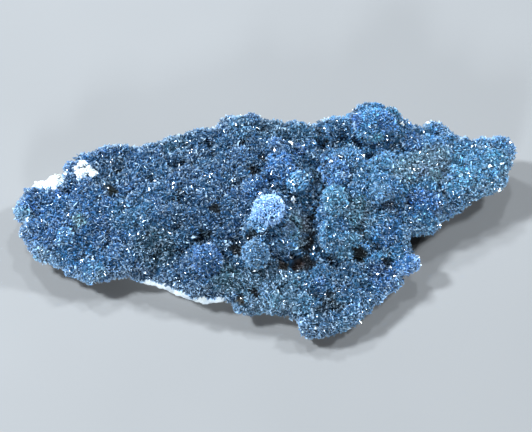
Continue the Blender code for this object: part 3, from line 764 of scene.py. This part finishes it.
# Painted glints and a painted rim of light: a share of pale blue mixed into each crystal's colour.
painted_highlight = rng.random(count) ** PALE_POWER
widths *= 1 - (1 - PALE_WIDTH) * painted_highlight
painted_highlight = PALE_MUCH * painted_highlight + np.where(at_edge, EDGE_PAINTED_LIGHT, 0)
blade_painted_glint = np.where(rng.random(count) < BLADE_GLINTS, BLADE_PAINTED_GLINT[1], BLADE_PAINTED_GLINT[0])
painted_highlight += BRIGHT_PAINTED_LIGHT * np.maximum(tone - FULL_TONE, 0) + np.where(blade, blade_painted_glint, 0)
painted_highlight = (np.minimum(painted_highlight, PALE_MUCH) * (1 - dark))[:, None]
tint = np.clip((1 - painted_highlight) * tint + painted_highlight * PAINTED_HIGHLIGHT_BLUE, 0, LIGHTEST)
lengths *= 1 - (1 - HOLLOW_LENGTH) * dark
widths[brightest] *= BRIGHT_WIDTH
thicknesses[brightest] *= BRIGHT_WIDTH
milky_share = np.full(len(centres), MILKY_SHARE)
milky_share[:len(rosette_at)] = [MILKY_ROSETTES.get(name, MILKY_SHARE) for name in ROSETTES]
milky = rng.random(count) < milky_share[cluster]
tint *= np.where(milky, np.where(brightest, BRIGHT_TONE, MILKY_TONE), 1.0)[:, None]
print("mean crystal colour", tint.mean(axis=0).round(3), "at the edge", int(at_edge.sum()))

# %% [markdown]
# The crystals as pieces.
#
# A piece stays under 200,000 triangles, so the crust's crystals are joined into a few meshes by where
# they stand, from left to right. An instance on points would be lighter, but a joined mesh lets each point
# carry its own numbers: how far along its crystal it is, from 0 at the root to 1 at the tip, and its
# crystal's colour. Each triangle also knows whether its crystal is clear or milky.

# %% Crystal pieces
PIECE_LIMIT = 16000
PLACES = ["left_lobe", "shoulder", "body", "middle", "crevice", "plateau", "wing"]
BED_SHADE_IN_HOLLOWS = 0.4

in_order = np.argsort(roots[:, 0])
crystal_pieces = []
for place, chosen in zip(PLACES, np.array_split(in_order, len(PLACES))):
    forms = CRYSTAL_FORMS[form_of[chosen]]
    points, triangles = stand_crystals(
        forms, seats[chosen], axes[chosen], flats[chosen], widths[chosen], thicknesses[chosen],
        lengths[chosen],
    )
    attributes = {"growth": forms[:, :, 2].ravel(), "tint": np.repeat(tint[chosen], FORM_POINTS, axis=0)}
    piece = add_piece("crystals_" + place, points, triangles, attributes)
    finish_of = np.repeat(milky[chosen], len(CRYSTAL_TRIANGLES)).astype(np.int32)
    piece.data.polygons.foreach_set("material_index", finish_of)
    crystal_pieces.append(piece)
    if len(chosen) > PIECE_LIMIT:
        print("too many crystals in one piece:", len(chosen))

# In the hollows the bed gets more painted shade.
bed_tints, bed_hollow_shade = tinted(bed_points, cluster_of, cluster_share)
bed_tints *= 1 - (1 - BED_SHADE_IN_HOLLOWS) * bed_hollow_shade[:, None]
bed = add_piece("vauxite_bed", bed_points, bed_triangles, {"tint": bed_tints}, smooth=True)

# %% [markdown]
# Where the white grains lie.
#
# The rock breaks into sugary grains. They cover it where the crust has chipped off, in three layers where
# the large white patch fills its hole. They stand in place of the crystals at the chips' edges, and a few
# flecks lie between the crystals. The rock's own skin could rise through the crust there, but it would show
# as one smooth lump.

# %% Grain places
BARE_PLACES = {"large patch": (-26.2, 6.4, 2.2), "edge patch": (-29.7, 5.1, 2.6), "crest": (-32.0, 4.4, 2.0)}
HEAPS = {
    "edge patch low": (-30.6, 4.2, 0.3), "by the bright rosette": (3.9, 2.3, 0.45),
    "back": (3.4, 10.5, 0.3), "back low": (3.7, 10.1, 0.16), "back edge": (6.3, 13.1, 0.2),
    "by the crevice": (9.3, 7.8, 0.24), "wing": (33.9, 7.8, 0.18), "lower lobe": (6.9, -15.6, 0.16),
    "plateau": (13.4, 9.6, 0.16), "knob side": (19.6, 13.4, 0.26), "clay": (18.8, 8.2, 0.14),
    "wing back": (29.6, 10.1, 0.16), "clay front": (20.8, 6.3, 0.16), "hollow": (4.6, -7.6, 0.16),
    "hollow front": (4.4, -8.7, 0.16), "shoulder": (-15.8, 5.2, 0.16), "body front": (-4.3, -3.8, 0.16),
}
PATCH = (-26.2, 6.3, 1.0)
PATCH_LIFTS = (0.35, 0.7)
GRAIN_PITCH = 0.2
CHIP_GRAIN = 1.3
HEAP_GRAIN = 0.7
LEAST_FACING = -0.4
GRAIN_SINK = 0.12
HEAP_LIFT = 0.3

corners, weights = scatter(rock_points, rock_triangles, GRAIN_PITCH)
rock_seats = (rock_points[corners] * weights[:, :, None]).sum(axis=1)
rock_out = unit((corner_normals(rock_points, rock_triangles)[corners] * weights[:, :, None]).sum(axis=1))
bare = np.any([
    np.linalg.norm(rock_seats - bed_points[seen_at(across, up)], axis=1) < reach
    for across, up, reach in BARE_PLACES.values()
], axis=0) & (rock_out[:, 2] > LEAST_FACING)
rock_from_middle = rock_seats - VIEW_MIDDLE
off_patch = np.hypot(rock_from_middle[:, 0] - PATCH[0], rock_from_middle @ VIEW_UP - PATCH[1])
in_patch = (off_patch < PATCH[2]) & (rock_out @ TO_EYE > 0)
heaped = np.any([
    np.linalg.norm(roots - bed_points[seen_at(across, up)], axis=1) < reach
    for across, up, reach in HEAPS.values()
], axis=0)
seat_groups, outward_groups, scales = zip(
    (rock_seats[bare] - rock_out[bare] * GRAIN_SINK, rock_out[bare], 1.0),
    *[(rock_seats[in_patch] + TO_EYE * lift, rock_out[in_patch], 1.0) for lift in PATCH_LIFTS],
    (chip_seats - chip_normals * GRAIN_SINK, chip_normals, CHIP_GRAIN),
    (roots[heaped] + normals[heaped] * HEAP_LIFT, normals[heaped], HEAP_GRAIN),
)
group_sizes = [len(group) for group in seat_groups]
print("grains on the rock, in two lifted layers, in chips and in heaps:", group_sizes)

# %% [markdown]
# The white grains.
#
# They could be spheres, but a broken grain has faces, so each is a crystal form about as long as it is wide.
# Each has a shade of its own, because grains turn their faces different ways.

# %% Grains
GRAIN_SIZES = (0.16, 0.38)
GRAIN_LEAN = 0.5

grain_seats = np.concatenate(seat_groups)
outwards = np.concatenate(outward_groups)
grain_axes = unit(outwards + rng.normal(0, GRAIN_LEAN, outwards.shape))
grain_sizes = rng.uniform(*GRAIN_SIZES, (len(grain_seats), 3)) * np.repeat(scales, group_sizes)[:, None]
forms = CRYSTAL_FORMS[rng.integers(0, len(CRYSTAL_FORMS), len(grain_seats))]
points, triangles = stand_crystals(
    forms, grain_seats, grain_axes, across_of(grain_axes), grain_sizes[:, 0], grain_sizes[:, 1],
    grain_sizes[:, 2],
)
grain_shade = np.repeat(rng.random(len(grain_seats)), FORM_POINTS)
grains = add_piece("white_grains", points, triangles, {"shade": grain_shade})

# %% [markdown]
# Materials.
#
# A finish starts from what the thing is. Vauxite is a glassy phosphate with a refractive index of 1.56, and
# its crystals let light through. The rock is a mass of fine white grains. The colours come from the numbers
# that the points carry. One value of gloss for a whole piece would look like plastic, so a noise in real
# millimetres makes it vary from place to place.

# %% Material helpers
NOISE_DETAIL = 3.0
NOISE_SPREAD = (0.3, 0.7)
VAUXITE_IOR = 1.56
# A Mix node's sockets have the same names for numbers and for colours, so the colour ones go by position.
MIX_SHARE = 0
MIX_FIRST = 6
MIX_SECOND = 7
MIX_RESULT = 2


def rgba(hex_code):
    """The linear colour and full alpha, as a colour socket takes them."""
    return (*linear(hex_code), 1.0)


def spans(before, after):
    """The inputs of a Map Range node that stretches one span of numbers to another."""
    return {"From Min": before[0], "From Max": before[1], "To Min": after[0], "To Max": after[1]}


def add_node(tree, kind, links=(), inputs=(), **settings):
    """Adds a node with its properties, its inputs' values, and its links from other nodes' outputs."""
    node = tree.nodes.new(kind)
    for key, value in settings.items():
        setattr(node, key, value)
    for key, value in dict(inputs).items():
        node.inputs[key].default_value = value
    for key, output in dict(links).items():
        tree.links.new(output, node.inputs[key])
    return node


def new_material(name, **values):
    """A material with one Principled shader, whose sockets get these values. Returns both."""
    material = bpy.data.materials.new(name)
    material.use_nodes = True
    shader = material.node_tree.nodes["Principled BSDF"]
    for key, value in values.items():
        shader.inputs[key.replace("_", " ")].default_value = value
    return material, shader


def add_variation(tree, size, values):
    """Noise in patches of this many millimetres, mapped to run between the two values. Returns the output."""
    place = add_node(tree, "ShaderNodeTexCoord")
    noise = add_node(
        tree, "ShaderNodeTexNoise", {"Vector": place.outputs["Object"]},
        {"Scale": 1 / (size * MM), "Detail": NOISE_DETAIL},
    )
    spread = add_node(
        tree, "ShaderNodeMapRange", {"Value": noise.outputs["Fac"]}, spans(NOISE_SPREAD, values)
    )
    return spread.outputs["Result"]


print("pale blue of the tips in linear values", PAINTED_HIGHLIGHT_BLUE.round(3))

# %% [markdown]
# The crystals' finish.
#
# A vauxite crystal shows its own blue, and down in the crowd its root lies in shade, while its tip is paler
# where light leaves it. Both are painted, because a plain glass colour would look the same all along. So the
# colour is the crystal's own times a ramp along its growth, which is painted shade at the root, with a little
# pale blue mixed in at the tip as painted light. Patches of a millimetre or so differ in gloss, as crystals
# that grew at the same time do.

# %% Vauxite crystals
GLOSS_PATCH = 1.1
ROOT_SPAN = (0.2, 0.8)
ROOT_PAINTED_SHADE = (0.12, 1.0)
TIP_SPAN = (0.75, 1.05)
TIP_PAINTED_LIGHT = (0.0, 0.15)


def crystal_finish(name, transmission, roughness):
    """Colour = tint x ramp of growth (painted shade at the root), mixed with the pale blue (painted light) by
    a second ramp near the tip.
    """
    material, shader = new_material(name, IOR=VAUXITE_IOR, Transmission_Weight=transmission)
    tree = material.node_tree
    gloss = add_variation(tree, GLOSS_PATCH, roughness)
    tree.links.new(gloss, shader.inputs["Roughness"])
    growth = add_node(tree, "ShaderNodeAttribute", attribute_name="growth")
    crystal_tint = add_node(tree, "ShaderNodeAttribute", attribute_name="tint")
    # Painted shade at the root: the ramp darkens the colour down towards the root.
    depth = add_node(
        tree, "ShaderNodeMapRange", {"Value": growth.outputs["Fac"]}, spans(ROOT_SPAN, ROOT_PAINTED_SHADE)
    )
    deep = add_node(
        tree, "ShaderNodeMix",
        {MIX_FIRST: crystal_tint.outputs["Color"], MIX_SECOND: depth.outputs["Result"]},
        {MIX_SHARE: 1.0}, data_type="RGBA", blend_type="MULTIPLY",
    )
    # Painted light at the tip: a little pale blue near the end of the growth.
    tip = add_node(
        tree, "ShaderNodeMapRange", {"Value": growth.outputs["Fac"]}, spans(TIP_SPAN, TIP_PAINTED_LIGHT)
    )
    body = add_node(
        tree, "ShaderNodeMix", {MIX_SHARE: tip.outputs["Result"], MIX_FIRST: deep.outputs[MIX_RESULT]},
        {MIX_SECOND: (*PAINTED_HIGHLIGHT_BLUE, 1.0)}, data_type="RGBA",
    )
    tree.links.new(body.outputs[MIX_RESULT], shader.inputs["Base Color"])
    return material


# Grown clear: the eye looks into the crystal, sees deep blue, and gets a sharp glint from one flat face.
clear_vauxite = crystal_finish("vauxite_clear_crystal", transmission=0.75, roughness=(0.03, 0.14))
# Grown full of fine cracks: they scatter the light, so the crystal is a paler blue with a softer glint.
milky_vauxite = crystal_finish("vauxite_milky_crystal", transmission=0.1, roughness=(0.08, 0.24))
for piece in crystal_pieces:
    piece.data.materials.append(clear_vauxite)
    piece.data.materials.append(milky_vauxite)
print("on the crystals:", [material.name for material in crystal_pieces[0].data.materials])

# %% [markdown]
# The bed's finish.
#
# The mass under the crystals shows only through the gaps between them, where shade falls. It could be plain
# black, but then the hollows would lose their brown and olive. So it carries the colour of its place,
# drowned in a near black that is painted shade and lets more through in some grains than in others.

# %% Bed finish
BED_GRAIN = 0.6
BED_PAINTED_SHADE = (0.78, 0.96)

# Grown massive, without faces: nothing glints, and its near black is painted shade, so the eye sees the gaps
# as depth.
bed_finish, shader = new_material("vauxite_massive", Roughness=0.9, IOR=VAUXITE_IOR, Specular_IOR_Level=0.1)
tree = bed_finish.node_tree
darkness = add_variation(tree, BED_GRAIN, BED_PAINTED_SHADE)
bed_tint = add_node(tree, "ShaderNodeAttribute", attribute_name="tint")
# Painted shade in the gaps: the place's colour drowned in a near black.
drowned = add_node(
    tree, "ShaderNodeMix", {MIX_SHARE: darkness, MIX_FIRST: bed_tint.outputs["Color"]},
    {MIX_SECOND: rgba("03060a")}, data_type="RGBA",
)
tree.links.new(drowned.outputs[MIX_RESULT], shader.inputs["Base Color"])
bed.data.materials.append(bed_finish)
print("on the bed:", bed_finish.name)

# %% [markdown]
# The rock's finish.
#
# A fresh break in the white rock sparkles dully, like sugar, and water has left it faintly yellow here and
# there. Three mixes do this: from grey to white by the shade that each point carries, which on the rock is
# painted shade and dust in the low places and on a grain a shade of its own, then with a grey in patches the
# size of a grain, and with a yellowish stain in patches of a few millimetres. A plain white would look like
# plaster. The same grain raises a slight bump.

# %% Rock finish
# A real grain is about a fifth of a millimetre. It is drawn nearly twice as coarse, or it wouldn't show.
SUGAR_GRAIN = 0.35
SUGAR_MUCH = (0.0, 0.6)
SUGAR_HEIGHT = 0.06
STAIN = 2.4
STAIN_MUCH = (-0.3, 0.5)

# Broken, not worn: each grain turns its face another way, so the white is dry, matt and uneven.
rock_finish, shader = new_material("white_rock_broken", Roughness=0.75)
tree = rock_finish.node_tree
stored_shade = add_node(tree, "ShaderNodeAttribute", attribute_name="shade")
# Grey to white: on the rock this is painted shade and dust in the low places.
shaded = add_node(
    tree, "ShaderNodeMix", {MIX_SHARE: stored_shade.outputs["Fac"]},
    {MIX_FIRST: rgba("a4aeb6"), MIX_SECOND: rgba("e4e8e8")}, data_type="RGBA",
)
sugar = add_variation(tree, SUGAR_GRAIN, SUGAR_MUCH)
sugared = add_node(
    tree, "ShaderNodeMix", {MIX_SHARE: sugar, MIX_FIRST: shaded.outputs[MIX_RESULT]},
    {MIX_SECOND: rgba("bcc4ca")}, data_type="RGBA",
)
stain = add_variation(tree, STAIN, STAIN_MUCH)
stained = add_node(
    tree, "ShaderNodeMix", {MIX_SHARE: stain, MIX_FIRST: sugared.outputs[MIX_RESULT]},
    {MIX_SECOND: rgba("bdb59c")}, data_type="RGBA",
)
height = add_variation(tree, SUGAR_GRAIN, (0.0, 1.0))
bump = add_node(tree, "ShaderNodeBump", {"Height": height}, {"Distance": SUGAR_HEIGHT * MM})
tree.links.new(stained.outputs[MIX_RESULT], shader.inputs["Base Color"])
tree.links.new(bump.outputs["Normal"], shader.inputs["Normal"])
rock.data.materials.append(rock_finish)
grains.data.materials.append(rock_finish)
print("on the rock and its grains:", rock_finish.name)

# %% [markdown]
# Riding.
#
# The specimen has one body, so every piece rides on it. The bed and the crystals stand for the crust's
# solid, and the fine rock stands for the rock's.

# %% Riding
crust_pieces = [bed, *crystal_pieces]
rock_pieces = [rock, grains]
for piece in crust_pieces:
    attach(piece, "root")
    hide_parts("vauxite_crust")
for piece in rock_pieces:
    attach(piece, "root")
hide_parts("white_matrix")
print(len(crust_pieces), "pieces of the crust and", len(rock_pieces), "of the rock")

# %% [markdown]
# The floor.
#
# The specimen lies on a pale, matt floor. A square of two triangles is enough, because it is only there to
# catch the soft shadow. Its faint mottle keeps it from looking like paper.

# %% Floor
FLOOR_HALF = 400.0
FLOOR_MOTTLE = 60.0

floor_points = np.array([(-1, -1, 0), (1, -1, 0), (1, 1, 0), (-1, 1, 0)]) * FLOOR_HALF
floor = add_piece("floor", floor_points, np.array([(0, 1, 2), (0, 2, 3)]))

# Rolled paint: it throws no reflection, so the eye goes to the specimen and its shadow.
floor_finish, shader = new_material("grey_paint_rolled", Roughness=0.9)
tree = floor_finish.node_tree
mottle = add_variation(tree, FLOOR_MOTTLE, (0.0, 1.0))
mottled = add_node(
    tree, "ShaderNodeMix", {MIX_SHARE: mottle},
    {MIX_FIRST: rgba("6c6a68"), MIX_SECOND: rgba("686664")}, data_type="RGBA",
)
tree.links.new(mottled.outputs[MIX_RESULT], shader.inputs["Base Color"])
floor.data.materials.append(floor_finish)

# %% [markdown]
# The light.
#
# Small glassy faces need something bright to mirror, and a soft, even sky alone would leave them dull. Five
# soft boxes stand round the specimen in slightly blue daylight. The strongest is at the left, as in the
# photo, and one low in front lights the edge below the crystals. A weak, even light fills the shadows.

# %% Light
DAYLIGHT = "e6f3ff"
SOFT_BOXES = {
    "soft_box_left": ((-400, 60, 400), 70, 9.0),
    "soft_box_left_back": ((-200, 330, 420), 50, 3.0),
    "soft_box_back": ((80, 300, 500), 50, 2.0),
    "soft_box_right": ((380, 160, 380), 60, 4.0),
    "soft_box_front": ((-80, -500, 220), 100, 4.0),
}
AIR_COLOUR = "dfe6ee"
AIR_STRENGTH = 0.12


def add_soft_box(name, place, size, power):
    """A square area light of this size and place in millimetres, turned to the specimen."""
    light = bpy.data.lights.new(name, "AREA")
    light.size = size * MM
    light.energy = power
    light.color = linear(DAYLIGHT)
    lamp = bpy.data.objects.new(name, light)
    lamp.location = Vector(place) * MM
    lamp.rotation_euler = (-lamp.location).to_track_quat("-Z", "Y").to_euler()
    bpy.context.scene.collection.objects.link(lamp)


for name, (place, size, power) in SOFT_BOXES.items():
    add_soft_box(name, place, size, power)

world = bpy.data.worlds.new("studio_air")
world.use_nodes = True
background = world.node_tree.nodes["Background"]
background.inputs["Color"].default_value = rgba(AIR_COLOUR)
background.inputs["Strength"].default_value = AIR_STRENGTH
bpy.context.scene.world = world
bpy.context.scene.view_settings.view_transform = "Standard"
print(len(SOFT_BOXES), "soft boxes with", sum(box[2] for box in SOFT_BOXES.values()), "watts in all")

# %% [markdown]
# The camera.
#
# It looks down at 60 degrees from straight in front, as the photo does. The photo hardly shows perspective,
# so the camera stands far off with a long lens. Its focal length follows from the distance and from how many
# pixels of the picture one millimetre takes.

# %% Camera
PIXELS_PER_MM = 7.0
IMAGE_WIDTH = 532
SENSOR = 36.0
DISTANCE = 700.0
MIDDLE_RISE = 5.0

camera_data = bpy.data.cameras.new("camera")
camera_data.sensor_width = SENSOR
camera_data.lens = SENSOR * DISTANCE / (IMAGE_WIDTH / PIXELS_PER_MM)
camera = bpy.data.objects.new("camera", camera_data)
camera.location = Vector(VIEW_MIDDLE + (MIDDLE_RISE + DISTANCE) * TO_EYE) * MM
camera.rotation_euler = (math.pi / 2 - ELEVATION, 0, 0)
bpy.context.scene.collection.objects.link(camera)
bpy.context.scene.camera = camera
print("lens of", round(camera_data.lens), "mm")
